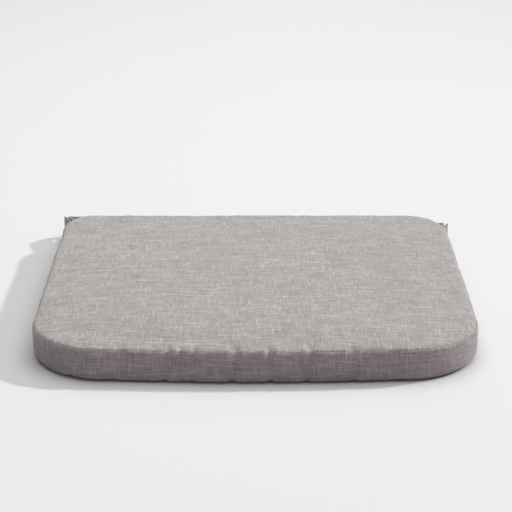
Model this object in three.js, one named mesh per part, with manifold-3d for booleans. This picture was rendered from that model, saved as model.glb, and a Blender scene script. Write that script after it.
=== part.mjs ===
// Chair seat pad with a zip-off cover, about 500 x 440 x 46 mm, and a closing strap loop at each rear
// corner that goes round the chair's rear post. A foam slab is wrapped in two dishes of fibre wadding
// and a thin liner bag. The cover has a top panel, a bottom panel, a boxing that runs round the front
// and sides, and a rear boxing in two strips with a zip between them.
// Millimetres, +Z up. The origin is the middle of the underside, and the front edge faces -Y.
import * as THREE from "three";
import { mergeVertices } from "three/addons/utils/BufferGeometryUtils.js";
import Module from "manifold-3d";

const wasm = await Module();
wasm.setup();

// ---- Driving dimensions ----

// Pad, seen from above
const frontWidth = 500;
const rearWidth = 488;
const padDepth = 437;
const frontBow = 12; // how far the front edge's middle stands ahead of its corners
const bowShare = 0.85; // share of the front edge, between its rounded corners, that is bowed
const frontCornerRadius = 84;
const rearCornerRadius = 52;

// Pad, seen from the side
const edgeHeight = 42; // at the edges
const crown = 4; // what the middle of the top adds
const edgeRadius = 9; // rounding along the top and bottom edges
const seamTurn = 45; // degrees round that rounding at which the panels meet the boxing

// Layers
const gap = 0.3; // between pieces that touch
const fabric = 1.2;
const ease = 1.8; // slack between the cover and the liner
const liner = 0.5;
const wadding = 4;
const waddingCrown = 4; // extra wadding in the middle of the top
const rearSetback = 3.2; // room behind the rear boxing for the zip
const mouthWidth = 300; // the liner's opening along the rear
const mouthHeight = 14;

// Zip
const zipMargin = 12.8; // from each end of the zip to where the rear edge starts to curve
const zipWindow = 12; // height of the opening between the two boxing strips
const tapeThickness = 0.7;
const tapeMargin = 0.25; // from each tape's outer edge to where the rear boxing starts to curve
const slitHalf = 0.75; // half the slit that the slider's neck runs in
const coilWidth = 2.4;
const coilThickness = 1.5;
const coilPitch = 4;
const stopLength = 3;

// Zip slider and its pull
const sliderLength = 12;
const sliderWall = 1.2;
const sliderClearance = 0.3;
const neckHalf = 0.45;
const bridgeWidth = 2.4;
const bridgeLength = 8;
const bridgeWall = 0.8;
const pullBar = 1; // thickness of the pull's wire and tab
const pullWidth = 6;
const pullLength = 27;

// Straps at the rear corners
const strapThickness = 1.6;
const strapHeight = 16;
const seamAngle = 40; // where the strap's seam is on the rear corner, in degrees from +X
const rootDepth = 3; // length of strap caught inside the seam
const loopReach = 40;
const loopRadius = 13.5;
const closureLength = 20; // how far the flap overlaps the loop's end
const flapLength = 44;
const patchThickness = 0.8;
const patchHeight = 13;

// Each strap: its side, how far its middle is above that of the pad's edge at the seam, how far the
// loop's far end is above the floor, and the direction from the seam to the middle of the loop, in
// degrees from the side's own X.
const straps = {
  left: { side: -1, lift: 5, tipHeight: 9.5, direction: 91 },
  right: { side: 1, lift: -5, tipHeight: 0.5, direction: 87 },
};

// Care label
const labelWidth = 32;
const labelReach = 18;
const labelThickness = 0.5;
const labelPlace = -140;

// ---- Colours ----

const clothColour = { color: 0x9a9690, roughness: 0.95, metalness: 0 };
const foamColour = { color: 0xe8dfbf, roughness: 0.9, metalness: 0 };
const waddingColour = { color: 0xf2f2f0, roughness: 1, metalness: 0 };
const linerColour = { color: 0xdedede, roughness: 0.9, metalness: 0 };
const tapeColour = { color: 0x76716e, roughness: 0.85, metalness: 0 };
const coilColour = { color: 0x6a6663, roughness: 0.45, metalness: 0 };
const metalColour = { color: 0xb0b0b0, roughness: 0.35, metalness: 1 };
const patchColour = { color: 0x55504f, roughness: 0.9, metalness: 0 };
const labelColour = { color: 0xf0efec, roughness: 0.7, metalness: 0 };

// ---- Solids ----

const radians = THREE.MathUtils.degToRad;

// A closed geometry as a solid that can be cut and joined.
function solid(geometry) {
  const bare = geometry.index ? geometry.toNonIndexed() : geometry.clone();
  bare.deleteAttribute("normal");
  bare.deleteAttribute("uv");
  const merged = mergeVertices(bare, 1e-4);
  return new wasm.Manifold(
    new wasm.Mesh({
      numProp: 3,
      vertProperties: merged.attributes.position.array,
      triVerts: new Uint32Array(merged.index.array),
    }),
  );
}

const part = new THREE.Group();

// Adds a solid or a geometry to the part as a named piece.
function addPiece(name, shape, colour) {
  let geometry = shape;
  if (shape instanceof wasm.Manifold) {
    const made = shape.getMesh();
    geometry = new THREE.BufferGeometry();
    geometry.setAttribute("position", new THREE.BufferAttribute(made.vertProperties, 3));
    geometry.setIndex(new THREE.BufferAttribute(made.triVerts, 1));
    geometry.computeVertexNormals();
  }
  const mesh = new THREE.Mesh(geometry, new THREE.MeshStandardMaterial(colour));
  mesh.name = name;
  part.add(mesh);
}

// A box between two corners.
function block([x0, y0, z0], [x1, y1, z1]) {
  const box = new THREE.BoxGeometry(x1 - x0, y1 - y0, z1 - z0);
  box.translate((x0 + x1) / 2, (y0 + y1) / 2, (z0 + z1) / 2);
  return solid(box);
}

// A flat outline raised from one height to another.
function prism(points, low, high) {
  const raised = new THREE.ExtrudeGeometry(new THREE.Shape(points), {
    depth: high - low,
    bevelEnabled: false,
  });
  return raised.translate(0, 0, low);
}

// ---- Pad outline ----

const rearY = padDepth / 2;
const frontCornerY = -padDepth / 2 + frontBow;

// The bow is a large arc that rounds off a very blunt corner in the middle of the front edge.
const bowHalf = bowShare * (frontWidth / 2 - frontCornerRadius);
const bowSlope = frontBow / ((frontWidth - bowHalf) / 2);
const bowRadius = bowHalf / bowSlope;
const apexY = frontCornerY - (bowSlope * frontWidth) / 2;

// Corners of the outline before rounding, counter-clockwise from the middle of the front edge, and the
// rounding and the number of steps of each.
const corners = [
  { x: 0, y: apexY, radius: bowRadius, steps: 6 },
  { x: frontWidth / 2, y: frontCornerY, radius: frontCornerRadius, steps: 8 },
  { x: rearWidth / 2, y: rearY, radius: rearCornerRadius, steps: 7 },
  { x: -rearWidth / 2, y: rearY, radius: rearCornerRadius, steps: 7 },
  { x: -frontWidth / 2, y: frontCornerY, radius: frontCornerRadius, steps: 8 },
];
const rearRight = 2;

// Where two lines cross, each given by a point and a direction.
function crossing(p, d, q, e) {
  const t = q.clone().sub(p).cross(e) / d.clone().cross(e);
  return p.clone().addScaledVector(d, t);
}

// The outline's rounded corners after it is drawn in by inset, and its rear edge by setback more.
function cornerArcs(inset, setback) {
  const count = corners.length;
  const sides = corners.map((from, i) => {
    const to = corners[(i + 1) % count];
    const along = new THREE.Vector2(to.x - from.x, to.y - from.y).normalize();
    const inwards = new THREE.Vector2(-along.y, along.x);
    const shift = inset + (i === rearRight ? setback : 0);
    return { point: new THREE.Vector2(from.x, from.y).addScaledVector(inwards, shift), along };
  });
  return corners.map((corner, i) => {
    const before = sides[(i + count - 1) % count];
    const after = sides[i];
    const tip = crossing(before.point, before.along, after.point, after.along);
    const turn = before.along.angleTo(after.along);
    const radius = corner.radius - inset;
    const start = tip.clone().addScaledVector(before.along, -radius * Math.tan(turn / 2));
    const toCentre = new THREE.Vector2(-before.along.y, before.along.x);
    const centre = start.clone().addScaledVector(toCentre, radius);
    const startAngle = Math.atan2(start.y - centre.y, start.x - centre.x);
    return { centre, radius, startAngle, turn, steps: corner.steps };
  });
}

// The drawn-in outline as a closed counter-clockwise list of points.
function outline(inset, setback) {
  return cornerArcs(inset, setback).flatMap(({ centre, radius, startAngle, turn, steps }) =>
    Array.from({ length: steps + 1 }, (_, i) => {
      const angle = startAngle + (turn * i) / steps;
      return new THREE.Vector2(
        centre.x + radius * Math.cos(angle),
        centre.y + radius * Math.sin(angle),
      );
    }),
  );
}

// ---- Pillow shapes ----

const edgeSteps = 3;
const crownRings = [0.82, 0.6, 0.35];

// A solid skinned over a stack of rings with equal numbers of points, closed by a point at each end.
function loft(rings, first, last) {
  const count = rings[0].length;
  const positions = [first, ...rings.flat(), last].flatMap((p) => [p.x, p.y, p.z]);
  const lastIndex = 1 + rings.length * count;
  const index = [];
  const at = (ring, i) => 1 + ring * count + (i % count);
  for (let i = 0; i < count; i++) {
    index.push(0, at(0, i + 1), at(0, i));
    index.push(lastIndex, at(rings.length - 1, i), at(rings.length - 1, i + 1));
    for (let ring = 0; ring + 1 < rings.length; ring++) {
      index.push(at(ring, i), at(ring, i + 1), at(ring + 1, i + 1));
      index.push(at(ring, i), at(ring + 1, i + 1), at(ring + 1, i));
    }
  }
  const geometry = new THREE.BufferGeometry();
  geometry.setAttribute("position", new THREE.Float32BufferAttribute(positions, 3));
  geometry.setIndex(index);
  return solid(geometry);
}

// The pad's shape drawn in by inset: flat below, upright sides, rounded edges and a crowned top.
function pillow({ inset, setback = 0, bottom, top, rise, edge }) {
  const ringAt = (extra, z) =>
    outline(inset + extra, setback).map((p) => new THREE.Vector3(p.x, p.y, z));
  const turns = Array.from({ length: edgeSteps + 1 }, (_, i) => (i / edgeSteps) * (Math.PI / 2));
  const lower = turns.map((a) => ringAt(edge * (1 - Math.sin(a)), bottom + edge * (1 - Math.cos(a))));
  const upper = turns.map((a) => ringAt(edge * (1 - Math.cos(a)), top - edge * (1 - Math.sin(a))));
  const rim = upper[upper.length - 1];
  const domed = crownRings.map((k) =>
    rim.map((p) => new THREE.Vector3(p.x * k, p.y * k, top + rise * (1 - k * k))),
  );
  const base = new THREE.Vector3(0, 0, bottom);
  const peak = new THREE.Vector3(0, 0, top + rise);
  return loft([...lower, ...upper, ...domed], base, peak);
}

// ---- Cover ----

const coverOuter = pillow({ inset: 0, bottom: 0, top: edgeHeight, rise: crown, edge: edgeRadius });
const coverInner = pillow({
  inset: fabric,
  bottom: fabric,
  top: edgeHeight - fabric,
  rise: crown,
  edge: edgeRadius - fabric,
});
const coverShell = coverOuter.subtract(coverInner);

const seamRise = edgeRadius * (1 - Math.sin(radians(seamTurn)));
const topSeam = edgeHeight - seamRise;
const bottomSeam = seamRise;
const zipHeight = (topSeam + bottomSeam) / 2;
const zipLength = 2 * (cornerArcs(0, 0)[rearRight].centre.x - zipMargin);

const far = padDepth + frontWidth; // beyond the whole pad
const slab = (low, high) => block([-far, -far, low], [far, far, high]);
const boxingShell = coverShell.intersect(slab(bottomSeam + gap / 2, topSeam - gap / 2));

// The rear corner seam on one side: a point on the pad's surface, the way out and the way backwards.
function cornerSeam(side) {
  const arc = cornerArcs(0, 0)[rearRight];
  const angle = radians(seamAngle);
  const out = new THREE.Vector2(side * Math.cos(angle), Math.sin(angle));
  const back = new THREE.Vector2(-side * Math.sin(angle), Math.cos(angle));
  const centre = new THREE.Vector2(side * arc.centre.x, arc.centre.y);
  return { point: centre.clone().addScaledVector(out, arc.radius), out, back };
}

// Height of a strap's underside at the seam.
const strapBase = ({ lift }) => (edgeHeight - strapHeight) / 2 + lift;

// Everything behind the two rear corner seams, moved backwards by margin.
function behindSeams(margin) {
  const ray = (side) => {
    const { point, out, back } = cornerSeam(side);
    const onSeam = (distance) =>
      point.clone().addScaledVector(out, distance).addScaledVector(back, margin);
    return [onSeam(-rearCornerRadius), onSeam(rearCornerRadius)];
  };
  const [rightIn, rightOut] = ray(1);
  const [leftIn, leftOut] = ray(-1);
  const backRight = new THREE.Vector2(far, far);
  const backLeft = new THREE.Vector2(-far, far);
  return solid(prism([rightIn, rightOut, backRight, backLeft, leftOut, leftIn], -far, far));
}

// The slit in one corner seam through which the strap enters the cover.
function strapSlit(strap) {
  const { side } = strap;
  const base = strapBase(strap);
  const { point, out, back } = cornerSeam(side);
  const half = strapThickness / 2 + gap;
  const corner = (across, along) =>
    point.clone().addScaledVector(out, across).addScaledVector(back, along);
  const reach = rootDepth + strapThickness;
  return solid(
    prism(
      [corner(-reach, -half), corner(reach, -half), corner(reach, half), corner(-reach, half)],
      base - gap,
      base + strapHeight + gap,
    ),
  );
}

function addCover() {
  const slits = strapSlit(straps.left).add(strapSlit(straps.right));
  const front = boxingShell.subtract(behindSeams(-gap / 2)).subtract(slits);
  const rear = boxingShell.intersect(behindSeams(gap / 2)).subtract(slits);
  const window = block(
    [-zipLength / 2 - stopLength, 0, zipHeight - zipWindow / 2],
    [zipLength / 2 + stopLength, far, zipHeight + zipWindow / 2],
  );
  const upper = rear.intersect(slab(zipHeight + gap / 2, edgeHeight)).subtract(window);
  const lower = rear.intersect(slab(0, zipHeight - gap / 2)).subtract(window);
  const high = slab(topSeam + gap / 2, edgeHeight + crown + 1);
  addPiece("cover_top_panel", coverShell.intersect(high), clothColour);
  addPiece("cover_bottom_panel", coverShell.intersect(slab(-1, bottomSeam - gap / 2)), clothColour);
  addPiece("cover_front_boxing", front, clothColour);
  addPiece("cover_rear_boxing_upper", upper, clothColour);
  addPiece("cover_rear_boxing_lower", lower, clothColour);
}

// ---- Filling ----

// A layer of the filling: the pillow shape that lies depth inside the cover's outer face.
function layer(depth, extra = {}) {
  return pillow({
    inset: depth,
    setback: rearSetback,
    bottom: depth,
    top: edgeHeight - depth,
    rise: crown,
    edge: edgeRadius - fabric,
    ...extra,
  });
}

function addFilling() {
  const linerDepth = fabric + ease;
  const waddingDepth = linerDepth + liner + gap;
  const foamDepth = waddingDepth + wadding + gap;
  const foamTop = edgeHeight + crown - waddingDepth - wadding - waddingCrown;
  const foamEdge = { top: foamTop, rise: 0, edge: edgeRadius / 2 };

  // The liner is a bag that is left open along the rear, where the foam goes in.
  const mouth = block(
    [-mouthWidth / 2, 0, (edgeHeight - mouthHeight) / 2],
    [mouthWidth / 2, far, (edgeHeight + mouthHeight) / 2],
  );
  const bag = layer(linerDepth).subtract(layer(linerDepth + liner)).subtract(mouth);
  addPiece("inner_liner", bag, linerColour);

  const hollow = layer(foamDepth - gap, { ...foamEdge, top: foamTop + gap });
  const wrap = layer(waddingDepth).subtract(hollow);
  const joint = foamTop / 2 + waddingDepth;
  addPiece("wadding_top", wrap.intersect(slab(joint + gap / 2, far)), waddingColour);
  addPiece("wadding_bottom", wrap.intersect(slab(-1, joint - gap / 2)), waddingColour);
  addPiece("foam_core", layer(foamDepth, foamEdge), foamColour);
}

// ---- Zip ----

// Depths are measured outwards from the rear boxing's outer face, so they are negative inside the cover.
const tapeFace = -(fabric + gap);
const tapeReach = edgeHeight / 2 - edgeRadius - tapeMargin; // from the zip's middle line
const coilBase = tapeFace + gap;
const coilFace = coilBase + coilThickness;
const coilEnd = zipLength / 2 - stopLength - gap;

// A box on the zip: x range, depth range, and heights above the zip's middle line.
function zipBlock([x0, x1], [depth0, depth1], [z0, z1]) {
  return block([x0, rearY + depth0, zipHeight + z0], [x1, rearY + depth1, zipHeight + z1]);
}

// One row of teeth: a strip along the tape's edge with a notch between each tooth and the next.
function coilRow(side) {
  const teeth = Math.floor((2 * coilEnd) / coilPitch);
  const start = (-teeth * coilPitch) / 2;
  const tip = slitHalf;
  const root = slitHalf + coilWidth / 2;
  const back = slitHalf + coilWidth;
  const edge = Array.from({ length: teeth }, (_, i) => {
    const x = start + i * coilPitch;
    return [
      [x, root],
      [x + coilPitch * 0.25, root],
      [x + coilPitch * 0.3, tip],
      [x + coilPitch * 0.7, tip],
      [x + coilPitch * 0.75, root],
    ];
  }).flat();
  const points = [[start, back], ...edge, [-start, root], [-start, back]];
  const row = prism(points.map(([x, y]) => new THREE.Vector2(x, y * side)), coilBase, coilFace);
  row.rotateX(-Math.PI / 2); // the outline's height turns to -Z, and its thickness to +Y
  return row.translate(0, rearY, zipHeight);
}

function addZip() {
  for (const [name, side] of [["upper", -1], ["lower", 1]]) {
    const heights = (a, b) => (side < 0 ? [a, b] : [-b, -a]);
    const half = zipLength / 2;
    const tape = zipBlock(
      [-half, half],
      [tapeFace - tapeThickness, tapeFace],
      heights(slitHalf, tapeReach),
    );
    addPiece(`zip_tape_${name}`, tape, tapeColour);
    addPiece(`zip_coil_${name}`, coilRow(side), coilColour);
    const stop = zipBlock(
      [half - stopLength, half],
      [coilBase, coilFace],
      heights(slitHalf, slitHalf + coilWidth),
    );
    addPiece(`zip_top_stop_${name}`, stop, metalColour);
  }
  const box = zipBlock(
    [-zipLength / 2, -zipLength / 2 + stopLength],
    [coilBase, coilFace],
    [-slitHalf - coilWidth, slitHalf + coilWidth],
  );
  addPiece("zip_bottom_stop", box, metalColour);
}

// ---- Zip slider and pull ----

const sliderPlace = coilEnd - sliderLength / 2 - gap;
const plateInner = coilFace + sliderClearance;
const plateOuter = plateInner + sliderWall;
const pullAxis = plateOuter + sliderClearance + pullBar / 2;

function addSlider() {
  const nose = sliderPlace + sliderLength / 2;
  const tail = sliderPlace - sliderLength / 2;
  const flangeInner = slitHalf + coilWidth + sliderClearance;
  const flangeOuter = flangeInner + sliderWall;
  const waist = flangeOuter - sliderWall / 2;
  const plateShape = [
    [tail, -waist],
    [nose - sliderWall, -flangeOuter],
    [nose, -flangeOuter + sliderWall],
    [nose, flangeOuter - sliderWall],
    [nose - sliderWall, flangeOuter],
    [tail, waist],
  ].map(([x, y]) => new THREE.Vector2(x, y));
  const plate = (low, high) => {
    const flat = prism(plateShape, low, high);
    flat.rotateX(-Math.PI / 2); // thickness turns to +Y
    return solid(flat.translate(0, rearY, zipHeight));
  };
  const underFace = tapeFace - tapeThickness - sliderClearance;
  const outer = plate(plateInner, plateOuter);
  const inner = plate(underFace - sliderWall, underFace);
  const neck = zipBlock(
    [nose - bridgeLength / 2, nose - sliderWall],
    [underFace - sliderWall / 2, plateInner + sliderWall / 2],
    [-neckHalf, neckHalf],
  );
  const flange = (low, high) =>
    zipBlock([tail, nose - sliderWall], [tapeFace + gap, plateInner + sliderWall / 2], [low, high]);
  const inside = flangeInner;
  const archTop = plateOuter + 2 * sliderClearance + pullBar + bridgeWall;
  const arch = zipBlock(
    [sliderPlace - bridgeLength / 2, sliderPlace + bridgeLength / 2],
    [plateOuter - sliderWall / 2, archTop],
    [-bridgeWidth / 2, bridgeWidth / 2],
  );
  const hole = zipBlock(
    [sliderPlace - bridgeLength / 2 + bridgeWall, sliderPlace + bridgeLength / 2 - bridgeWall],
    [plateOuter, archTop - bridgeWall],
    [-bridgeWidth, bridgeWidth],
  );
  const body = outer
    .add(inner)
    .add(neck)
    .add(flange(inside, inside + sliderWall / 2))
    .add(flange(-inside - sliderWall / 2, -inside))
    .add(arch.subtract(hole));
  addPiece("zip_slider", body, metalColour);
}

function addPull() {
  const depth = [pullAxis - pullBar / 2, pullAxis + pullBar / 2];
  const eyeHalf = bridgeWidth / 2 + sliderClearance;
  const armEnd = bridgeLength / 2 + 1;
  const along = (a, b) => [sliderPlace - b, sliderPlace - a];
  const frame = zipBlock(along(-pullBar / 2, armEnd + pullBar), depth, [
    -eyeHalf - pullBar,
    eyeHalf + pullBar,
  ]);
  const eye = zipBlock(along(pullBar / 2, armEnd), [-far, far], [-eyeHalf, eyeHalf]);
  const tab = zipBlock(along(armEnd + pullBar / 2, pullLength), depth, [
    -pullWidth / 2,
    pullWidth / 2,
  ]);
  addPiece("zip_pull", frame.subtract(eye).add(tab), metalColour);
}

// ---- Straps ----

// A strip of even thickness that stands on edge along a flat path, and sags towards its far end.
function strip(strap, path, thickness, height) {
  const sideOf = (sign) =>
    path.map((p, i) => {
      const before = path[Math.max(i - 1, 0)];
      const after = path[Math.min(i + 1, path.length - 1)];
      const along = after.clone().sub(before).normalize();
      return new THREE.Vector2(
        p.x - (sign * along.y * thickness) / 2,
        p.y + (sign * along.x * thickness) / 2,
      );
    });
  const base = strapBase(strap);
  const low = base + (strapHeight - height) / 2;
  const geometry = prism([...sideOf(1), ...sideOf(-1).reverse()], low, low + height);
  const place = geometry.attributes.position;
  const rootY = cornerSeam(1).point.y;
  for (let i = 0; i < place.count; i++) {
    const share = Math.max(0, place.getY(i) - rootY) / (loopReach + loopRadius);
    place.setZ(i, place.getZ(i) - (base - strap.tipHeight) * share ** 3);
  }
  return geometry;
}

// Points along a straight line.
function line(from, to, steps) {
  return Array.from({ length: steps + 1 }, (_, i) => from.clone().lerp(to, i / steps));
}

// Plan of one corner's strap: the long leg leaves the seam, goes round behind the chair's post and comes
// back on the outer side, where the flap, which is hinged at the seam, closes over its end.
function strapPlan({ side, direction }) {
  const { point, out, back } = cornerSeam(side);
  const polar = (origin, length, angle) =>
    new THREE.Vector2(
      origin.x + side * length * Math.cos(angle),
      origin.y + length * Math.sin(angle),
    );
  const headingTo = (from, to) => Math.atan2(to.y - from.y, side * (to.x - from.x));
  const loopCentre = polar(point, loopReach, radians(direction));

  // The flap's line passes outside the loop, with both patches between them.
  const closure = strapThickness + 2 * patchThickness + 3 * gap;
  const flapRoot = point
    .clone()
    .addScaledVector(out, strapThickness / 2 + 2 * gap)
    .addScaledVector(back, -1.5 * strapThickness - gap);
  const flapSpan = flapRoot.distanceTo(loopCentre);
  const flapAngle =
    headingTo(flapRoot, loopCentre) - Math.asin((loopRadius + closure) / flapSpan);
  const flapTip = polar(flapRoot, flapLength, flapAngle);

  // The leg's two straight stretches are tangents of the loop.
  const legExit = point.clone().addScaledVector(out, strapThickness);
  const legSpan = legExit.distanceTo(loopCentre);
  const legHeading = headingTo(legExit, loopCentre) + Math.asin(loopRadius / legSpan);
  const loopStart = legHeading + Math.PI / 2;
  const loopEnd = flapAngle - Math.PI / 2;
  const loopSteps = 14;
  const round = Array.from({ length: loopSteps + 1 }, (_, i) =>
    polar(loopCentre, loopRadius, loopStart + ((loopEnd - loopStart) * i) / loopSteps),
  );
  const closureStart = round[round.length - 1];
  const closureEnd = polar(closureStart, -closureLength, flapAngle);
  const leg = [
    ...line(point.clone().addScaledVector(out, -rootDepth), legExit, 1),
    ...line(legExit, round[0], 5).slice(1, -1),
    ...round,
    ...line(closureStart, closureEnd, 4).slice(1),
  ];

  // Patches lie on the facing sides of the leg's end and the flap.
  const outwards = (p, distance) => polar(p, distance, flapAngle - Math.PI / 2);
  const onFace = strapThickness / 2 + gap + patchThickness / 2;
  const patchEnds = [polar(closureEnd, 1, flapAngle), polar(closureStart, -1, flapAngle)];
  const pile = line(...patchEnds.map((p) => outwards(p, onFace)), 4);
  const hook = line(...patchEnds.map((p) => outwards(p, closure - onFace)), 4);
  return { leg, flap: line(flapRoot, flapTip, 8), pile, hook };
}

function addStraps() {
  for (const [name, strap] of Object.entries(straps)) {
    const { leg, flap, pile, hook } = strapPlan(strap);
    const tape = (path) => strip(strap, path, strapThickness, strapHeight);
    const patch = (path) => strip(strap, path, patchThickness, patchHeight);
    addPiece(`${name}_strap_leg`, tape(leg), clothColour);
    addPiece(`${name}_strap_flap`, tape(flap), clothColour);
    addPiece(`${name}_pile_patch`, patch(pile), patchColour);
    addPiece(`${name}_hook_patch`, patch(hook), patchColour);
  }
}

// ---- Care label ----

// The label comes out of the seam between the rear boxing and the bottom panel.
function addLabel() {
  const seamInset = edgeRadius * (1 - Math.cos(radians(seamTurn)));
  const root = rearY - seamInset + 2 * gap;
  const label = block(
    [labelPlace - labelWidth / 2, root, bottomSeam - labelThickness / 2],
    [labelPlace + labelWidth / 2, root + labelReach, bottomSeam + labelThickness / 2],
  );
  addPiece("care_label", label, labelColour);
}

addCover();
addFilling();
addZip();
addSlider();
addPull();
addStraps();
addLabel();

export default part;
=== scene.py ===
import math

import bpy
import numpy as np
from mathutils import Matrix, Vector, noise
from mathutils.bvhtree import BVHTree


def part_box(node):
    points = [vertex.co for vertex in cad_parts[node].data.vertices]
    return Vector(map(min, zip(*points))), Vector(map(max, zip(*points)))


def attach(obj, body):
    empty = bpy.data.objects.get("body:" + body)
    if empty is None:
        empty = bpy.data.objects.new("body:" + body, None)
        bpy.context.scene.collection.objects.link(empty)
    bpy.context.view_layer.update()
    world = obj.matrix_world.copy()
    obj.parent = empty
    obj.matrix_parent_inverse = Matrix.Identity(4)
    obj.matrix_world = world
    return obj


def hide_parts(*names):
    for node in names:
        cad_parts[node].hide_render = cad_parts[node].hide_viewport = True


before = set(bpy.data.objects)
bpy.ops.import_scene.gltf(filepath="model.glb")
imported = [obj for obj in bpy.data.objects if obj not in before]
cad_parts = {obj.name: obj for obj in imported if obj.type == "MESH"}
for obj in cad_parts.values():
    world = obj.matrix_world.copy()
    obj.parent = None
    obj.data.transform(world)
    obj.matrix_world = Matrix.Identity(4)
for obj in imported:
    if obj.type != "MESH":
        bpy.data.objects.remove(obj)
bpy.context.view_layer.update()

# ---- Cover ----
# The cover is a bag of heavy melange cloth in a linen look: a top panel, a bottom panel and an upright
# boxing between them, sewn inside out with plain seams and turned. The filling swells it, the seams
# hold it in, and the boxing puckers along the front where it was eased round the filling.

front_line = -0.2065  # the line between the front corners, ahead of which the edge bows out
rear_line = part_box("cover_rear_boxing_upper")[1][1]
front_width = 0.500
rear_width = 0.488
edge_height = 0.042
front_bow = 0.012
bow_half = 0.1411  # half the length of the bowed stretch
front_corner = 0.084  # corner radii
rear_corner = 0.052
top_round = 0.006  # how the sewn edges round over
bottom_round = 0.009
top_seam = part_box("cover_front_boxing")[1][2]
bottom_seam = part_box("cover_front_boxing")[0][2]
bow_slope = front_bow / (front_width / 2 - bow_half / 2)


def edit(piece, kind):
    """Opens the piece alone in edit mode, with nothing selected in it."""
    if bpy.context.mode != "OBJECT":
        bpy.ops.object.mode_set(mode="OBJECT")
    select_only(piece)
    bpy.ops.object.mode_set(mode="EDIT")
    bpy.ops.mesh.select_mode(type=kind)
    bpy.ops.mesh.select_all(action="DESELECT")


def select_only(piece):
    """Selects one object and makes it the active one."""
    bpy.ops.object.select_all(action="DESELECT")
    piece.select_set(True)
    bpy.context.view_layer.objects.active = piece


def pick(piece, kind, wanted):
    """Selects, in edit mode, the edges or faces whose middle, and direction or normal, are wanted."""
    edit(piece, kind)
    bpy.ops.object.mode_set(mode="OBJECT")
    if kind == "EDGE":
        points = [v.co for v in piece.data.vertices]
        for edge in piece.data.edges:
            a, b = (points[i] for i in edge.vertices)
            edge.select = wanted((a + b) / 2, (b - a).normalized())
    else:
        for face in piece.data.polygons:
            face.select = wanted(face.center, face.normal)
    bpy.ops.object.mode_set(mode="EDIT")


def cut(piece, wanted, point, normal):
    """Cuts the wanted faces along a plane."""
    pick(piece, "FACE", wanted)
    bpy.ops.mesh.bisect(plane_co=point, plane_no=normal, use_fill=False)
    bpy.ops.object.mode_set(mode="OBJECT")


def apply_modifiers(piece):
    """Applies every modifier on the piece, in order."""
    select_only(piece)
    for modifier in list(piece.modifiers):
        bpy.ops.object.modifier_apply(modifier=modifier.name)


def box_between(name, low, high):
    """A box between two corners, with its place in its mesh."""
    bpy.ops.object.select_all(action="DESELECT")
    low, high = Vector(low), Vector(high)
    bpy.ops.mesh.primitive_cube_add(size=1, location=(low + high) / 2)
    piece = bpy.context.object
    piece.name = piece.data.name = name
    piece.scale = high - low
    bpy.ops.object.transform_apply(location=True, rotation=True, scale=True)
    return piece


def smooth(low, high, value):
    """0 below low, 1 above high, and an even ramp between them."""
    share = min(max((value - low) / (high - low), 0), 1)
    return share * share * (3 - 2 * share)


def bow_at(x):
    """How far the front edge stands ahead of the corners' line."""
    x = abs(x)
    if x > bow_half:
        return bow_slope * (front_width / 2 - x)
    return bow_slope * (front_width / 2 - bow_half / 2 - x * x / (2 * bow_half))


# The sewn bag before it is filled is a little smaller than the finished pad.
slack = 0.0007
cover = box_between(
    "cushion_cover",
    (-front_width / 2 + slack, front_line + slack, 0),
    (front_width / 2 - slack, rear_line - slack, edge_height - slack),
)
pick(cover, "EDGE", lambda middle, along: middle.y > 0 and abs(along.x) > 0.9)
bpy.ops.transform.resize(value=(rear_width / front_width, 1, 1), center_override=(0, 0, 0))
bpy.ops.object.mode_set(mode="OBJECT")
bow_cuts = 8  # to each side of the middle
for i in range(1 - bow_cuts, bow_cuts):
    cut(cover, lambda middle, normal: True, (i * bow_half / bow_cuts, 0, 0), (1, 0, 0))
for side in (-1, 1):
    cut(cover, lambda middle, normal: True, (side * bow_half, 0, 0), (1, 0, 0))
for vertex in cover.data.vertices:
    if vertex.co.y < 0:
        vertex.co.y -= bow_at(vertex.co.x)
side_lean = math.atan((front_width - rear_width) / 2 / (rear_line - front_line))
front_turn = math.pi / 2 + side_lean - math.atan(bow_slope)
rear_turn = math.pi / 2 - side_lean
for side, radius, turn, steps in ((-1, front_corner, front_turn, 14), (1, rear_corner, rear_turn, 10)):
    pick(
        cover,
        "EDGE",
        lambda middle, along: abs(along.z) > 0.9 and abs(middle.x) > 0.2 and middle.y * side > 0,
    )
    # the offset that gives a corner of this turn its radius
    bpy.ops.mesh.bevel(offset=radius * math.tan(turn / 2), segments=steps, affect="EDGES")
for way, rounding in ((1, top_round), (-1, bottom_round)):
    pick(cover, "FACE", lambda middle, normal: normal.z * way > 0.9)
    bpy.ops.mesh.region_to_loop()
    bpy.ops.mesh.bevel(offset=rounding, segments=5, affect="EDGES")
bpy.ops.object.mode_set(mode="OBJECT")
cover.data.remesh_voxel_size = 0.005
bpy.ops.object.voxel_remesh()
start_crown = 0.0030  # the top is a little domed before it is filled
for vertex in cover.data.vertices:
    across = min(abs(vertex.co.x) / (front_width / 2), 1)
    back = min(abs(vertex.co.y) / rear_line, 1)
    above = smooth(edge_height - top_round, edge_height, vertex.co.z)
    vertex.co.z += start_crown * (1 - across**3) * (1 - back**3) * above

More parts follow.
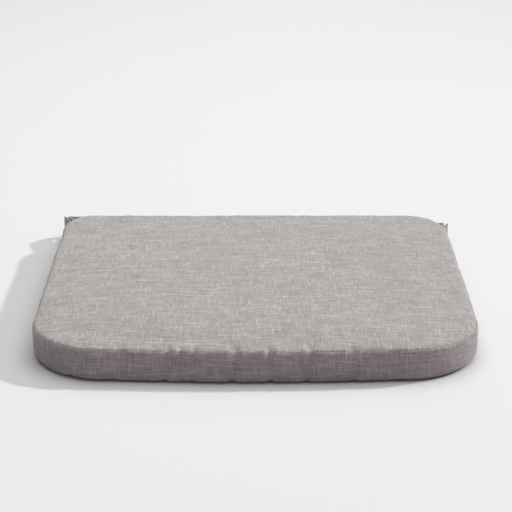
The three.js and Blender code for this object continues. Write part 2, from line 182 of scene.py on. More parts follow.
# The filling pushes the bag out. The seams are held, and the underside stays flat on the seat.
bulge_up = 0.0016  # how far the cloth may move
bulge_out = 0.0013
seam_allowance = 0.003  # cloth this near a seam is held by it
filling_steps = 20
held = cover.vertex_groups.new(name="seams")
for vertex in cover.data.vertices:
    if min(abs(vertex.co.z - top_seam), abs(vertex.co.z - bottom_seam)) < seam_allowance:
        held.add([vertex.index], 1.0, "REPLACE")
before = [vertex.co.copy() for vertex in cover.data.vertices]
stuffing = cover.modifiers.new("stuffing", "CLOTH")
stuffing.settings.use_pressure = True
stuffing.settings.uniform_pressure_force = 5.0
stuffing.settings.vertex_group_mass = "seams"
stuffing.settings.effector_weights.gravity = 0
stuffing.settings.bending_stiffness = 2.0
stuffing.point_cache.frame_start = 1
stuffing.point_cache.frame_end = filling_steps
for step in range(1, filling_steps + 1):
    bpy.context.scene.frame_set(step)
apply_modifiers(cover)
bpy.context.scene.frame_set(1)
for vertex, start in zip(cover.data.vertices, before):
    move = vertex.co - start
    sideways = bulge_out * math.tanh(move.xy.length / bulge_out) / max(move.xy.length, 1e-9)
    upwards = bulge_up * math.tanh(move.z / bulge_up)
    vertex.co = start + Vector((move.x * sideways, move.y * sideways, upwards))
cover.vertex_groups.clear()
finer = cover.modifiers.new("finer cloth", "SUBSURF")
finer.levels = finer.render_levels = 1
apply_modifiers(cover)

# The front boxing and the edge above it are finer still, for the puckers.
pick(
    cover,
    "FACE",
    lambda middle, normal: middle.y < -0.185
    and middle.z > 0.001
    and (normal.z < 0.9 or middle.y < -0.20),
)
bpy.ops.mesh.subdivide(number_cuts=1, smoothness=0)
bpy.ops.object.mode_set(mode="OBJECT")

# Three cuts along each seam give the sewn line between two panels its valley.
valley = 0.0010  # half its width
seam_reach = 0.006  # only faces this near a seam are cut
for height in (top_seam, bottom_seam):
    for offset in (-valley, 0, valley):
        level = height + offset
        cut(cover, lambda middle, normal: abs(middle.z - level) < seam_reach, (0, 0, level), (0, 0, 1))

# The corner seams, where the rear boxing with the zip meets the front boxing.
seam_turn = math.radians(40)  # how far round the rear corner from the side
corner_seams = []
for side in (-1, 1):
    out = Vector((side * math.cos(seam_turn), math.sin(seam_turn), 0))
    back = Vector((-side * math.sin(seam_turn), math.cos(seam_turn), 0))
    middle_of_turn = Vector((side * (rear_width / 2 - rear_corner), rear_line - rear_corner, 0))
    point = middle_of_turn + out * rear_corner
    corner_seams.append((point, back))
    for offset in (-valley, 0, valley):
        cut(
            cover,
            lambda middle, normal: (middle - point).xy.length < 2 * seam_reach
            and bottom_seam < middle.z < top_seam,
            point + back * offset,
            back,
        )

# Each pucker along the front: where it is, how deep, how wide and how far it leans.
puckers = (
    (-0.1930, 0.0011, 0.0060, 0.30),
    (-0.1500, 0.0010, 0.0060, 0.20),
    (-0.0960, 0.0016, 0.0035, 0.10),
    (-0.0780, 0.0012, 0.0028, -0.12),
    (-0.0665, 0.0014, 0.0024, 0.06),
    (-0.0230, 0.0021, 0.0034, 0.08),
    (0.0157, 0.0023, 0.0030, -0.05),
    (0.0570, 0.0018, 0.0032, 0.10),
    (0.1050, 0.0016, 0.0036, -0.08),
    (0.1500, 0.0009, 0.0065, -0.18),
)


def inward(p):
    """How far a point near the front lies inside the pad's outline."""
    x, y = abs(p.x) - front_width / 2 + front_corner, p.y - front_line - front_corner
    if x < 0:
        return p.y - front_line + bow_at(p.x)
    return front_corner - (math.hypot(x, y) if y < 0 else x)


def near_front(p):
    """1 in the front part of the pad, fading to 0 behind it."""
    return 1 - smooth(-0.14, -0.04, p.y)


front_roll = 0.0024  # how far the top rolls down at the front edge
roll_width = 0.045  # and how far in from the edge it starts


def rolled_down(p):
    """How far the top rolls down towards the front edge at a point."""
    return front_roll * (1 - smooth(0, roll_width, inward(p))) * near_front(p)


def sunk(p):
    """How far a point sinks with the roll: all the way at the top, and not at all at the bottom."""
    return rolled_down(p) * smooth(0.008, 0.036, p.z)


def pucker_depth(p):
    """How far the puckers pull the cloth in at a point near the front."""
    behind = inward(p)
    total = 0
    for where, depth, width, lean in puckers:
        across = (p.x - where - lean * (p.z - edge_height / 2)) / width
        if abs(across) < 6:
            # the cloth stands up in a ridge on each side of the pucker
            ridges = 0.35 * math.exp(-((across - 2.3) ** 2)) + 0.25 * math.exp(-((across + 2.3) ** 2))
            total += depth * (math.exp(-(across**2)) - ridges)
    # they run a little way over the top, and are deepest at the upper edge
    return total * (1 - smooth(0.004, 0.022, behind)) * (0.75 + 0.5 * smooth(0.02, 0.038, p.z))


seam_sink = 0.00030  # how deep each sewn line lies in the cloth
bottom_seam_sink = 0.0008
corner_seam_sink = 0.0009
zip_middle = (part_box("zip_coil_upper")[1][2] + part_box("zip_coil_lower")[0][2]) / 2
slot_half_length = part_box("zip_tape_upper")[1][0] + 0.003  # a little longer than the tapes
slot_half_height = 0.006
fold_height = 0.0006  # the folded edges along the slot stand out
fold_half_width = 0.0022
slot_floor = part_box("zip_slider")[0][1] - 0.0006  # clear of the slider's back
full_corner = (-0.224, 0.192)  # the left rear corner is stuffed fuller than the right
full_reach = 0.030

cover.data.update()
normals = [v.normal.copy() for v in cover.data.vertices]
for vertex, normal in zip(cover.data.vertices, normals):
    p = vertex.co.copy()
    lifted = smooth(0.002, 0.010, p.z)
    beside = min(abs(p.z - top_seam), abs(p.z - bottom_seam))
    # broad and small unevenness of the filling, and a slight gathering beside the seams
    move = 0.0011 * noise.noise(p * 11) + 0.0005 * noise.noise(p * 34 + Vector((5, 3, 1)))
    move += 0.0006 * noise.noise(Vector((p.x * 70, p.y * 70, 3))) * (1 - smooth(0, 0.012, beside))
    move *= lifted
    if beside < valley / 2 and abs(normal.z) < 0.97:
        move -= seam_sink if p.z > zip_middle else bottom_seam_sink
    for point, back in corner_seams:
        if (p - point).xy.length < 0.010 and abs((p - point).dot(back)) < valley / 2:
            if bottom_seam < p.z < top_seam:
                move -= corner_seam_sink
    if p.y < -0.15:
        move -= pucker_depth(p)
    if p.y > 0.19 and abs(p.x) < slot_half_length + 0.006:
        fold = (abs(p.z - zip_middle) - slot_half_height - 0.0014) / fold_half_width
        move += fold_height * math.exp(-fold * fold)
    vertex.co = p + normal * move
    vertex.co.z -= sunk(p)
    reach = math.hypot(p.x - full_corner[0], p.y - full_corner[1]) / full_reach
    full = math.exp(-reach * reach) * smooth(0.026, 0.038, p.z)
    vertex.co += Vector((-0.0022, 0.0024, 0.0022)) * full
for vertex in cover.data.vertices:
    vertex.co.z = max(vertex.co.z, 0.0)  # flat on the seat


# The opening for the zip is a slot in the rear boxing, between folded edges.
def at_rear(middle, normal):
    return normal.y > 0.5 and middle.y > rear_line - 0.004 and abs(middle.z - zip_middle) < 0.013


for side in (-1, 1):
    cut(cover, at_rear, (0, 0, zip_middle + side * slot_half_height), (0, 0, 1))
    cut(cover, at_rear, (side * slot_half_length, 0, 0), (1, 0, 0))
pick(
    cover,
    "FACE",
    lambda middle, normal: at_rear(middle, normal)
    and abs(middle.x) < slot_half_length
    and abs(middle.z - zip_middle) < slot_half_height,
)
bpy.ops.mesh.extrude_region_move(TRANSFORM_OT_translate={"value": (0, slot_floor - rear_line, 0)})
bpy.ops.transform.resize(value=(1, 0, 1), center_override=(0, slot_floor, 0))
bpy.ops.object.mode_set(mode="OBJECT")


def outline_points():
    """The pad's outline without its bow, as points a few millimetres apart."""
    corners = []
    for x, y, radius, turn in (
        (front_width / 2 - front_corner, front_line + front_corner, front_corner, -90),
        (rear_width / 2 - rear_corner, rear_line - rear_corner, rear_corner, 0),
        (-rear_width / 2 + rear_corner, rear_line - rear_corner, rear_corner, 90),
        (-front_width / 2 + front_corner, front_line + front_corner, front_corner, 180),
    ):
        for i in range(13):
            angle = math.radians(turn + 90 * i / 12)
            corners.append((x + radius * math.cos(angle), y + radius * math.sin(angle)))
    points = []
    for (x0, y0), (x1, y1) in zip(corners, corners[1:] + corners[:1]):
        steps = max(1, int(math.hypot(x1 - x0, y1 - y0) / 0.003))
        points += [(x0 + (x1 - x0) * i / steps, y0 + (y1 - y0) * i / steps) for i in range(steps)]
    return np.array(points)


bottom_shift = 2  # the bottom and the boxing lie elsewhere on the weave map than the top
boxing_shift = 4


def lay_weave_on_cover(piece):
    """The weave map, in metres: flat across the top and bottom, and round the pad on the boxing."""
    mesh = piece.data
    outline = outline_points()
    start = int(np.argmin(np.abs(outline[:, 0]) - outline[:, 1]))  # the middle of the rear edge
    outline = np.roll(outline, -start, axis=0)
    steps = np.linalg.norm(np.diff(outline, axis=0, append=outline[:1]), axis=1)
    along = np.concatenate([[0], np.cumsum(steps)[:-1]])
    length = steps.sum()
    places = np.empty(len(mesh.vertices) * 3)
    mesh.vertices.foreach_get("co", places)
    places = places.reshape(-1, 3)
    round_pad = np.empty(len(places))
    batch = 4000  # points measured at a time
    ahead = np.roll(outline, -1, axis=0) - outline
    ahead /= np.linalg.norm(ahead, axis=1)[:, None]
    for first in range(0, len(places), batch):
        part = places[first : first + batch, None, :2] - outline[None]
        nearest = np.argmin((part**2).sum(2), axis=1)
        # measured on along the outline from its nearest point
        rest = places[first : first + batch, :2] - outline[nearest]
        round_pad[first : first + batch] = along[nearest] + (rest * ahead[nearest]).sum(1)
    layer = mesh.uv_layers.new(name="weave")
    for face in mesh.polygons:
        middle = face.center
        on_top = middle.z > top_seam - rolled_down(middle)
        for loop in face.loop_indices:
            index = mesh.loops[loop].vertex_index
            x, y, z = places[index]
            if on_top or middle.z < bottom_seam:
                layer.data[loop].uv = (x, y + (bottom_shift if middle.z < bottom_seam else 0))
                continue
            place = round_pad[index]
            here = round_pad[mesh.loops[face.loop_indices[0]].vertex_index]
            if place - here > length / 2:
                place -= length
            elif here - place > length / 2:
                place += length
            layer.data[loop].uv = (place + boxing_shift, z)


def shade(piece, degrees=None):
    """Smooth shading, all over or below an angle."""
    select_only(piece)
    if degrees is None:
        bpy.ops.object.shade_smooth()
    else:
        bpy.ops.object.shade_smooth_by_angle(angle=math.radians(degrees))


lay_weave_on_cover(cover)
shade(cover)


def new_material(name, roughness, specular=0.3):
    """An empty material: returns it, its node tree and its shader."""
    material = bpy.data.materials.new(name)
    material.use_nodes = True
    tree = material.node_tree
    shader = tree.nodes["Principled BSDF"]
    shader.inputs["Roughness"].default_value = roughness
    shader.inputs["Specular IOR Level"].default_value = specular
    return material, tree, shader


def node(tree, kind, **values):
    """A shader node with some of its properties set."""
    made = tree.nodes.new(kind)
    for name, value in values.items():
        setattr(made, name, value)
    return made


def maths(tree, operation, *terms):
    """One step of arithmetic on sockets or numbers."""
    made = node(tree, "ShaderNodeMath", operation=operation)
    for socket, value in zip(made.inputs, terms):
        if isinstance(value, (int, float)):
            socket.default_value = value
        else:
            tree.links.new(value, socket)
    return made.outputs[0]


def streaks(tree, place, scale, detail=2, offset=0.0):
    """Noise drawn out by a different scale along each axis."""
    mapping = node(tree, "ShaderNodeMapping")
    mapping.inputs["Scale"].default_value = scale
    mapping.inputs["Location"].default_value = (offset, offset * 0.7, offset * 1.3)
    tree.links.new(place, mapping.inputs["Vector"])
    made = node(tree, "ShaderNodeTexNoise")
    made.inputs["Scale"].default_value = 1
    made.inputs["Detail"].default_value = detail
    made.inputs["Roughness"].default_value = 0.6
    tree.links.new(mapping.outputs[0], made.inputs["Vector"])
    return made.outputs["Fac"]


def ramp(tree, value, *stops):
    """A colour ramp from (position, colour) stops."""
    made = node(tree, "ShaderNodeValToRGB")
    while len(made.color_ramp.elements) < len(stops):
        made.color_ramp.elements.new(0.5)
    for element, (position, colour) in zip(made.color_ramp.elements, stops):
        element.position = position
        element.color = (*colour, 1)
    tree.links.new(value, made.inputs[0])
    return made.outputs["Color"]


def raise_surface(tree, shader, height, distance):
    """Raises the surface by a height, as bump."""
    made = node(tree, "ShaderNodeBump")
    made.inputs["Strength"].default_value = 1
    made.inputs["Distance"].default_value = distance
    tree.links.new(height, made.inputs["Height"])
    tree.links.new(made.outputs["Normal"], shader.inputs["Normal"])


yarn_pitch = 0.00115


def yarns(tree, along, across, stretch, seed):
    """One set of yarns: each has its own run of thick and thin, light and dark."""
    row = maths(tree, "FLOOR", maths(tree, "DIVIDE", across, yarn_pitch))
    which = maths(tree, "MULTIPLY", row, 7.37)  # far apart in the noise, so that no two are alike
    spot = node(tree, "ShaderNodeCombineXYZ")
    tree.links.new(maths(tree, "DIVIDE", along, stretch), spot.inputs[0])
    tree.links.new(which, spot.inputs[1])
    return streaks(tree, spot.outputs[0], (1, 1, 1), 1, seed)


def melange_cloth(name, light, middle, dark, painted_shade_tint):
    """Plain weave of uneven light and dark yarns, with slubs both ways, and painted shade on the
    boxing: a pinkish darkening multiplied into its colour.
    """
    material, tree, shader = new_material(name, 0.95, 0.15)
    place = node(tree, "ShaderNodeUVMap", uv_map="weave").outputs[0]
    split = node(tree, "ShaderNodeSeparateXYZ")
    tree.links.new(place, split.inputs[0])
    u, v = split.outputs[0], split.outputs[1]
    weft = yarns(tree, u, v, 0.021, 1.3)
    warp = yarns(tree, v, u, 0.014, 7.1)
    fine_weft = yarns(tree, u, v, 0.003, 3.7)
    fine_warp = yarns(tree, v, u, 0.003, 9.2)
    cloudy = streaks(tree, place, (30, 30, 1), 3, 5.5)
    tone = maths(tree, "MULTIPLY_ADD", weft, 0.45, maths(tree, "MULTIPLY", warp, 0.35))
    tone = maths(tree, "MULTIPLY_ADD", maths(tree, "ADD", fine_weft, fine_warp), 0.10, tone)
    both = maths(tree, "MAXIMUM", weft, warp)
    slub = maths(tree, "MAXIMUM", maths(tree, "SUBTRACT", both, 0.62), 0)
    tone = maths(tree, "MULTIPLY_ADD", slub, 0.9, tone)
    tone = maths(tree, "MULTIPLY_ADD", maths(tree, "SUBTRACT", cloudy, 0.5), 0.12, tone)
    colour = ramp(tree, tone, (0.36, dark), (0.52, middle), (0.68, light))
    # painted shade: all of the boxing is multiplied by a pinkish tint, standing in for the shade on its
    # front, which faces away from the key light
    boxing_painted_shade = node(tree, "ShaderNodeMix", data_type="RGBA", blend_type="MULTIPLY")
    boxing_shade_mask = maths(tree, "GREATER_THAN", u, boxing_shift / 2)
    tree.links.new(boxing_shade_mask, boxing_painted_shade.inputs["Factor"])
    tree.links.new(colour, boxing_painted_shade.inputs["A"])
    boxing_painted_shade.inputs["B"].default_value = (*painted_shade_tint, 1)
    tree.links.new(boxing_painted_shade.outputs["Result"], shader.inputs["Base Color"])
    over = maths(tree, "SINE", maths(tree, "MULTIPLY", u, math.pi / yarn_pitch))
    under = maths(tree, "SINE", maths(tree, "MULTIPLY", v, math.pi / yarn_pitch))
    crossing = maths(tree, "MULTIPLY", over, under)
    height = maths(tree, "MULTIPLY_ADD", crossing, 0.16, maths(tree, "MULTIPLY", tone, 1.1))
    raise_surface(tree, shader, height, 0.00045)
    shader.inputs["Sheen Weight"].default_value = 0.2
    shader.inputs["Sheen Roughness"].default_value = 0.6
    return material


cloth = melange_cloth(
    "melange_cloth",
    light=(0.350, 0.331, 0.317),
    middle=(0.261, 0.246, 0.235),
    dark=(0.180, 0.170, 0.163),
    # painted shade: the pinkish tint that darkens the boxing
    painted_shade_tint=(1.0, 0.925, 0.975),
)
cover.data.materials.append(cloth)
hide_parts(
    "cover_top_panel",
    "cover_bottom_panel",
    "cover_front_boxing",
    "cover_rear_boxing_upper",
    "cover_rear_boxing_lower",
)
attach(cover, "pad")

# ---- Filling ----
# A slab of seat foam lies between two layers of fibre wadding in a thin non-woven bag. It goes in
# through the zip, and it is rolled down and squeezed in at the front as the cover is.


def copy_of(node_name, name, flats_joined=True):
    """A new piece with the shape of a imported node, its loose triangles joined up."""
    piece = bpy.data.objects.new(name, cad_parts[node_name].data.copy())
    piece.data.name = name
    piece.data.materials.clear()
    bpy.context.scene.collection.objects.link(piece)
    edit(piece, "VERT")
    bpy.ops.mesh.select_all(action="SELECT")
    bpy.ops.mesh.remove_doubles(threshold=1e-5)
    if flats_joined:
        bpy.ops.mesh.dissolve_limited(angle_limit=math.radians(0.5))
    bpy.ops.object.mode_set(mode="OBJECT")
    return piece


def placed(piece, material, body, slot, *nodes):
    """Gives a finished piece its material and body, and hides the imported nodes that it stands for.
    The slot is not used.
    """
    piece.data.materials.clear()
    piece.data.materials.append(material)
    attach(piece, body)
    if nodes:
        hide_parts(*nodes)


def fibre_finish(name, light, dark, scale, depth):
    """Matt fibres or cells, with uneven colour."""
    material, tree, shader = new_material(name, 0.95, 0.1)
    place = node(tree, "ShaderNodeTexCoord").outputs["Object"]
    fibres = streaks(tree, place, scale, 4)
    tree.links.new(ramp(tree, fibres, (0.35, dark), (0.65, light)), shader.inputs["Base Color"])
    raise_surface(tree, shader, fibres, depth)
    return material


front_squeeze = 0.0022  # how far the cover presses the filling's front edge back


def filling_piece(node_name, name, material, slot, lumps):
    """One layer of the filling, settled into the cover."""
    piece = copy_of(node_name, name, flats_joined=False)
    edit(piece, "EDGE")
    bpy.ops.mesh.select_all(action="SELECT")
    bpy.ops.mesh.subdivide(number_cuts=2, smoothness=0)
    bpy.ops.object.mode_set(mode="OBJECT")
    for vertex in piece.data.vertices:
        p = vertex.co.copy()
        vertex.co.z -= sunk(p)
        vertex.co.y += front_squeeze * (1 - smooth(0.002, 0.080, inward(p))) * near_front(p)
        vertex.co += Vector((0, 0, lumps * noise.noise(p * 60)))
    shade(piece, 40)
    placed(piece, material, "pad", slot, node_name)


foam_finish = fibre_finish(
    "seat_foam",
    light=(0.80, 0.74, 0.52),
    dark=(0.70, 0.63, 0.40),
    scale=(900, 900, 900),
    depth=0.0004,
)
wadding_finish = fibre_finish(
    "fibre_wadding",
    light=(0.88, 0.88, 0.86),
    dark=(0.78, 0.78, 0.76),
    scale=(400, 90, 400),
    depth=0.0008,
)
liner_finish = fibre_finish(
    "non_woven_liner",
    light=(0.76, 0.76, 0.75),
    dark=(0.68, 0.68, 0.67),
    scale=(700, 250, 700),
    depth=0.0002,
)
filling_piece("foam_core", "foam_slab", foam_finish, "foam", 0.0)
filling_piece("wadding_top", "fibre_wadding_top", wadding_finish, "wadding", 0.0001)
filling_piece("wadding_bottom", "fibre_wadding_bottom", wadding_finish, "wadding", 0.0001)
filling_piece("inner_liner", "non_woven_bag", liner_finish, "liner", 0.0001)

# ---- Zip ----
# A nylon coil zip lies in the slot of the rear boxing: two woven tapes, each with a coil of nylon along
# its inner edge, two top stops and a bottom stop in metal, and a plated slider with its pull.


def bevelled(piece, width, segments=2):
    """Rounds the piece's sharp edges."""
    rounding = piece.modifiers.new("rounded edges", "BEVEL")
    rounding.width = width
    rounding.segments = segments
    rounding.limit_method = "ANGLE"
    rounding.angle_limit = math.radians(35)
    apply_modifiers(piece)
    shade(piece, 35)


def box_weave(piece):
    """A weave map, in metres, laid on each face by the way it points."""
    mesh = piece.data
    layer = mesh.uv_layers.new(name="weave")
    for face in mesh.polygons:
        x, y, z = (abs(n) for n in face.normal)
        first, second = (0, 1) if z > max(x, y) else (1, 2) if x > y else (0, 2)
        for loop in face.loop_indices:
            p = mesh.vertices[mesh.loops[loop].vertex_index].co
            layer.data[loop].uv = (p[first], p[second])


def tape_finish():
    """Close twill of the zip's tapes."""
    material, tree, shader = new_material("zip_tape_weave", 0.85, 0.25)
    place = node(tree, "ShaderNodeTexCoord").outputs["Object"]
    split = node(tree, "ShaderNodeSeparateXYZ")
    tree.links.new(place, split.inputs[0])
    rib, row = 0.0009, 0.0011  # the twill's steps along and across the tape
    ribs = maths(tree, "SINE", maths(tree, "MULTIPLY", split.outputs[0], 2 * math.pi / rib))
    rows = maths(tree, "SINE", maths(tree, "MULTIPLY", split.outputs[2], 2 * math.pi / row))
    weave = maths(tree, "MULTIPLY", ribs, rows)
    uneven = streaks(tree, place, (90, 90, 700), 3)
    tone = maths(tree, "MULTIPLY_ADD", weave, 0.12, uneven)
    colour = ramp(tree, tone, (0.3, (0.125, 0.115, 0.112)), (0.7, (0.20, 0.187, 0.18)))
    tree.links.new(colour, shader.inputs["Base Color"])
    raise_surface(tree, shader, weave, 0.00018)
    return material


tape_cloth = tape_finish()
tape_step = 0.004  # the tape is cut this often, so that it can ripple
tape_rows = (0.0034, 0.0050, 0.0080)  # and this far from its inner edge
for row in ("upper", "lower"):
    tape = copy_of(f"zip_tape_{row}", f"woven_zip_tape_{row}")
    for i in range(-44, 45):
        cut(tape, lambda middle, normal: True, (i * tape_step, 0, 0), (1, 0, 0))
    edge_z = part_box(f"zip_tape_{row}")[0 if row == "upper" else 1][2]
    away = 1 if row == "upper" else -1
    for offset in tape_rows:
        cut(tape, lambda middle, normal: True, (0, 0, edge_z + away * offset), (0, 0, 1))
    for vertex in tape.data.vertices:
        loose = smooth(0.003, 0.011, abs(vertex.co.z - edge_z))
        ripple = noise.noise(Vector((vertex.co.x * 45, vertex.co.z * 60, 7)))
        vertex.co.y += (0.0002 * ripple + 0.0002) * loose
    bevelled(tape, 0.00012, 1)
    placed(tape, tape_cloth, "pad", "zip_tape", f"zip_tape_{row}")


def nylon_finish():
    """Drawn nylon: satin, a little uneven along its length."""
    material, tree, shader = new_material("coil_nylon", 0.38, 0.5)
    place = node(tree, "ShaderNodeTexCoord").outputs["Object"]
    uneven = streaks(tree, place, (300, 900, 900), 3)
    colour = ramp(tree, uneven, (0.3, (0.12, 0.11, 0.108)), (0.7, (0.185, 0.175, 0.168)))
    tree.links.new(colour, shader.inputs["Base Color"])
    raise_surface(tree, shader, uneven, 0.00004)
    return material


nylon = nylon_finish()
coil_step = 0.0013
coil_radius = 0.001  # of one loop, before it is drawn to its height
nylon_radius = 0.0004
coil_reach = 0.00056  # the loops stop this far from the zip's middle line, where the two rows meet
coil_lean = 0.22
for row in ("upper", "lower"):
    low, high = (Vector(corner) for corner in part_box(f"zip_coil_{row}"))
    away = 1 if row == "upper" else -1
    if row == "upper":
        low.z = zip_middle + coil_reach
    else:
        high.z = zip_middle - coil_reach
    count = int((high.x - low.x) / coil_step)
    bpy.ops.object.select_all(action="DESELECT")
    bpy.ops.mesh.primitive_torus_add(
        major_segments=10,
        minor_segments=5,
        major_radius=coil_radius,
        minor_radius=nylon_radius,
        rotation=(0, math.pi / 2, 0),
    )
    coil = bpy.context.object
    coil.name = coil.data.name = f"nylon_coil_{row}"
    bpy.ops.object.transform_apply(location=True, rotation=True, scale=True)
    half_y = (high.y - low.y) / 2 / (coil_radius + nylon_radius)
    half_z = (high.z - low.z) / 2 / (coil_radius + nylon_radius)
    start = (low.x + high.x - (count - 1) * coil_step) / 2
    for vertex in coil.data.vertices:
        x, y, z = vertex.co
        vertex.co = (
            start + x + away * (y * coil_lean + coil_step / 4),
            (low.y + high.y) / 2 + y * half_y,
            (low.z + high.z) / 2 + z * half_z,
        )
    turns = coil.modifiers.new("turns", "ARRAY")
    turns.use_relative_offset = False
    turns.use_constant_offset = True
    turns.constant_offset_displace = (coil_step, 0, 0)
    turns.count = count
    apply_modifiers(coil)
    shade(coil)
    placed(coil, nylon, "pad", "zip_coil", f"zip_coil_{row}")


def plated_finish():
    """Satin nickel plate, brushed along, with duller worn patches."""
    material, tree, shader = new_material("satin_plate", 0.34, 0.5)
    shader.inputs["Metallic"].default_value = 1
    place = node(tree, "ShaderNodeTexCoord").outputs["Object"]
    brushed = streaks(tree, place, (250, 6000, 6000), 2)
    worn = streaks(tree, place, (420, 420, 420), 3, 2.0)
    colour = ramp(tree, worn, (0.35, (0.50, 0.49, 0.47)), (0.65, (0.66, 0.655, 0.64)))
    tree.links.new(colour, shader.inputs["Base Color"])
    rough = maths(tree, "MULTIPLY_ADD", worn, 0.30, 0.20)
    tree.links.new(rough, shader.inputs["Roughness"])
    raise_surface(tree, shader, brushed, 0.00002)
    return material


plate = plated_finish()
for stop in ("top_stop_upper", "top_stop_lower", "bottom_stop"):
    piece = copy_of(f"zip_{stop}", f"plated_{stop}")
    bevelled(piece, 0.00035, 3)
    placed(piece, plate, "pad", "zip_metal", f"zip_{stop}")
slider = copy_of("zip_slider", "plated_slider")
bevelled(slider, 0.00022, 3)
placed(slider, plate, "slider", "zip_metal", "zip_slider")
pull = copy_of("zip_pull", "plated_pull")
bevelled(pull, 0.00030, 3)
placed(pull, plate, "pull", "zip_metal", "zip_pull")

# ---- Topstitching ----
# Grey polyester thread holds the folded edges of the boxing to the zip's tapes, in a straight row above
# and below the zip, with a bar tack at each end.

stitch_length = 0.0028
stitch_step = 0.0036
thread_thick = 0.00052
stitch_inset = 0.0022  # from the slot's edge
tack_step = 0.00060
tack_count = 19


def thread_finish():
    """Twisted sewing thread."""
    material, tree, shader = new_material("sewing_thread", 0.7, 0.3)
    place = node(tree, "ShaderNodeTexCoord").outputs["Object"]
    twist = streaks(tree, place, (2600, 1600, 2600), 2)
    colour = ramp(tree, twist, (0.3, (0.30, 0.285, 0.28)), (0.7, (0.46, 0.44, 0.43)))
    tree.links.new(colour, shader.inputs["Base Color"])
    raise_surface(tree, shader, twist, 0.00008)
    return material


thread = thread_finish()
cloth_surface = BVHTree.FromObject(cover, bpy.context.evaluated_depsgraph_get())


def stitch_row(name, first, step, count, size):
    """A row of stitches on the rear boxing: each lies on the cloth where it is."""
    bpy.ops.object.select_all(action="DESELECT")
    bpy.ops.mesh.primitive_uv_sphere_add(segments=8, ring_count=5, radius=0.5)
    row = bpy.context.object
    row.name = row.data.name = name
    row.scale = size
    row.location = (first[0], 0, first[1])
    bpy.ops.object.transform_apply(location=True, rotation=True, scale=True)
    repeat = row.modifiers.new("repeat", "ARRAY")
    repeat.use_relative_offset = False
    repeat.use_constant_offset = True
    repeat.constant_offset_displace = (step[0], 0, step[1])
    repeat.count = count
    each = len(row.data.vertices)
    apply_modifiers(row)
    for i in range(count):
        x, z = first[0] + i * step[0], first[1] + i * step[1]
        hit = cloth_surface.ray_cast(Vector((x, 0.3, z)), Vector((0, -1, 0)))[0]
        for vertex in row.data.vertices[i * each : (i + 1) * each]:
            vertex.co.y += hit.y + 0.00005  # just proud of the cloth
    return row


rows = []
stitch_count = int(2 * slot_half_length / stitch_step)
first_x = -(stitch_count - 1) * stitch_step / 2
size = (stitch_length, thread_thick, thread_thick)
tack_low = zip_middle - (tack_count - 1) / 2 * tack_step
for side in (-1, 1):
    height = zip_middle + side * (slot_half_height + stitch_inset)
    rows.append(stitch_row("row", (first_x, height), (stitch_step, 0), stitch_count, size))
    tack_x = side * (slot_half_length + stitch_inset)
    rows.append(stitch_row("tack", (tack_x, tack_low), (0, tack_step), tack_count, size))
select_only(rows[0])
for row in rows[1:]:
    row.select_set(True)
bpy.ops.object.join()
stitching = bpy.context.object
stitching.name = stitching.data.name = "zip_topstitching"
shade(stitching)
placed(stitching, thread, "pad", "cover_cloth")

# ---- Straps ----
# At each rear corner a strap of the cover's cloth, folded double and edge-stitched, leaves the corner
# seam, goes round the chair's post and comes back under a flap that closes on it with hook and pile.

strap_grain = 0.0006  # size of the squares that the strap's cloth is made of
strap_slice = 0.001  # a strap's edges are found in lengths this short, because it sags along its way
edge_stitch = 0.0022  # from the strap's edge
edge_stitch_width = 0.0005
edge_stitch_sink = 0.00028


def soft_strip(node_name, name):
    """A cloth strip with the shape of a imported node, its edges rounded and its stitch lines sunk."""
    strip = copy_of(node_name, name)
    select_only(strip)
    strip.data.remesh_voxel_size = strap_grain
    bpy.ops.object.voxel_remesh()
    relax = strip.modifiers.new("relax", "SMOOTH")
    relax.factor = 0.5
    relax.iterations = 2
    apply_modifiers(strip)
    edges = {}
    for vertex in strip.data.vertices:
        key = round(vertex.co.y / strap_slice)
        low, high = edges.get(key, (1, -1))
        edges[key] = (min(low, vertex.co.z), max(high, vertex.co.z))
    strip.data.update()
    normals = [v.normal.copy() for v in strip.data.vertices]
    for vertex, normal in zip(strip.data.vertices, normals):
        p = vertex.co.copy()
        low, high = edges[round(p.y / strap_slice)]
        line = (min(p.z - low, high - p.z) - edge_stitch) / edge_stitch_width
        move = -edge_stitch_sink * math.exp(-line * line) if abs(normal.z) < 0.7 else 0
        move += 0.00012 * noise.noise(p * 260) + 0.00018 * noise.noise(p * 90)
        vertex.co = p + normal * move
    box_weave(strip)
    shade(strip)
    return strip


def closure_finish(name, dark, light, step, depth):
    """Hook or pile tape: small even tufts."""
    material, tree, shader = new_material(name, 0.9, 0.2)
    place = node(tree, "ShaderNodeTexCoord").outputs["Object"]
    tufts = node(tree, "ShaderNodeTexVoronoi")
    tufts.inputs["Scale"].default_value = 1 / step
    tufts.inputs["Randomness"].default_value = 0.4
    tree.links.new(place, tufts.inputs["Vector"])
    fuzz = streaks(tree, place, (2500, 2500, 2500), 3)
    tops = maths(tree, "SUBTRACT", 1, tufts.outputs["Distance"])
    height = maths(tree, "MULTIPLY_ADD", fuzz, 0.5, tops)
    tree.links.new(ramp(tree, height, (0.4, dark), (1.2, light)), shader.inputs["Base Color"])
    raise_surface(tree, shader, height, depth)
    return material


hook_tape = closure_finish("hook_tape", (0.055, 0.05, 0.05), (0.13, 0.12, 0.12), 0.0011, 0.0004)
pile_tape = closure_finish("pile_tape", (0.07, 0.065, 0.065), (0.16, 0.15, 0.15), 0.0006, 0.0003)

for side in ("left", "right"):
    leg = soft_strip(f"{side}_strap_leg", f"{side}_cloth_leg")
    placed(leg, cloth, "pad", "cover_cloth", f"{side}_strap_leg")
    flap = soft_strip(f"{side}_strap_flap", f"{side}_cloth_flap")
    placed(flap, cloth, f"{side}_flap", "cover_cloth", f"{side}_strap_flap")
    pile = copy_of(f"{side}_pile_patch", f"{side}_pile_tape")
    bevelled(pile, 0.00025, 2)
    placed(pile, pile_tape, "pad", "closure", f"{side}_pile_patch")
    hook = copy_of(f"{side}_hook_patch", f"{side}_hook_tape")
    bevelled(hook, 0.00025, 2)
    placed(hook, hook_tape, f"{side}_flap", "closure", f"{side}_hook_patch")

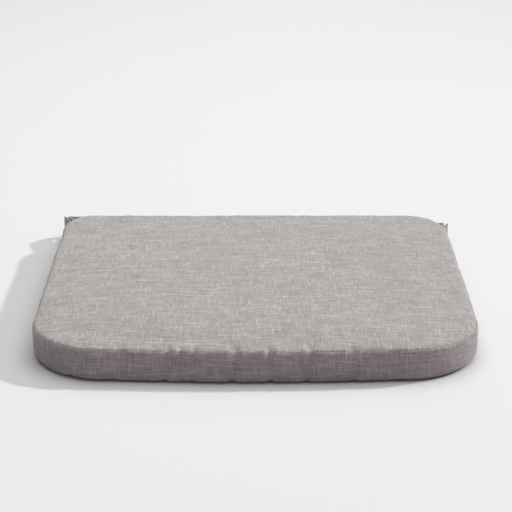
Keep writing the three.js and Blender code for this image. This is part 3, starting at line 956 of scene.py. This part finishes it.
# ---- Care label ----
# A short piece of white satin ribbon, left blank, with its raw end caught in the bottom seam under
# the zip, near the left corner. It hangs down a little from the seam and its free corners curl up.

label_low, label_high = (Vector(corner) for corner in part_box("care_label"))
label_size = (0.032, 0.018)  # how it is cut
label_droop = 0.0014
label_curl = 0.0016
bpy.ops.object.select_all(action="DESELECT")
bpy.ops.mesh.primitive_grid_add(x_subdivisions=24, y_subdivisions=14, size=1)
label = bpy.context.object
label.name = label.data.name = "blank_care_label"
label.scale = (*label_size, 1)
label.location = (label_low + label_high) / 2
bpy.ops.object.transform_apply(location=True, rotation=True, scale=True)
for vertex in label.data.vertices:
    out = (vertex.co.y - label_low.y) / label_size[1]
    across = (vertex.co.x - label_low.x) / label_size[0] - 0.5
    droop = label_droop * smooth(0, 0.7, out)
    curl = label_curl * smooth(0.3, 1, out) * (2 * across) ** 2
    vertex.co.z += -droop + curl
ribbon = label.modifiers.new("ribbon", "SOLIDIFY")
ribbon.thickness = 0.0003
ribbon.offset = 0
apply_modifiers(label)
shade(label, 40)


def ribbon_finish():
    """White satin ribbon with fine ribs."""
    material, tree, shader = new_material("label_ribbon", 0.45, 0.4)
    place = node(tree, "ShaderNodeTexCoord").outputs["Object"]
    ribs = streaks(tree, place, (3500, 200, 200), 2)
    colour = ramp(tree, ribs, (0.3, (0.80, 0.79, 0.76)), (0.7, (0.88, 0.87, 0.85)))
    tree.links.new(colour, shader.inputs["Base Color"])
    raise_surface(tree, shader, ribs, 0.00005)
    return material


placed(label, ribbon_finish(), "pad", "label", "care_label")

# ---- Studio ----
# A pale seamless paper floor. One key light from the right and a little behind gives the shadow, with
# soft boxes above, behind and low in front of the pad, and the camera looks down on its front edge.

bpy.ops.object.select_all(action="DESELECT")
bpy.ops.mesh.primitive_plane_add(size=12, location=(0, 0, -0.0002))
floor = bpy.context.object
floor.name = "studio_floor"
paper, tree, shader = new_material("studio_paper", 0.9, 0.1)
shader.inputs["Base Color"].default_value = (0.55, 0.55, 0.55, 1)
floor.data.materials.append(paper)


def lamp(name, kind, place, target, energy, size):
    """A light at a place, aimed at a target."""
    bpy.ops.object.light_add(type=kind, location=place)
    made = bpy.context.object
    made.name = name
    made.data.energy = energy
    if kind == "AREA":
        made.data.size = size
    else:
        made.data.angle = size
    made.rotation_euler = (Vector(target) - Vector(place)).to_track_quat("-Z", "Y").to_euler()
    return made


key_from = Vector((1.45, 0.50, 1.0)).normalized() * 4
lamp("key", "SUN", key_from, (0, 0, 0), 2.5, math.radians(3.5))
lamp("overhead", "AREA", (0.3, 0.18, 2.5), (0, 0.05, 0), 71, 3.0)
lamp("rear softbox", "AREA", (0.0, 2.3, 1.5), (0, 0, 0), 10, 1.6)
front_fill = lamp("front fill", "AREA", (0.9, -2.6, 0.45), (0, 0, 0), 2.9, 1.2)
front_fill.data.color = (1.0, 0.35, 0.75)  # warms the shaded front of the boxing

world = bpy.data.worlds.new("studio")
bpy.context.scene.world = world
world.use_nodes = True
room = world.node_tree.nodes["Background"]
room.inputs["Color"].default_value = (1, 1, 1, 1)
room.inputs["Strength"].default_value = 0.32
bpy.context.scene.view_settings.view_transform = "Standard"

bpy.ops.object.camera_add(location=(0.0, -1.8753, 0.7736))
camera = bpy.context.object
camera.data.sensor_width = 36
camera.data.lens = 119.7
looking = Vector((0.001, 0.1733, 0)) - camera.location
camera.rotation_euler = looking.to_track_quat("-Z", "Y").to_euler()
bpy.context.scene.camera = camera
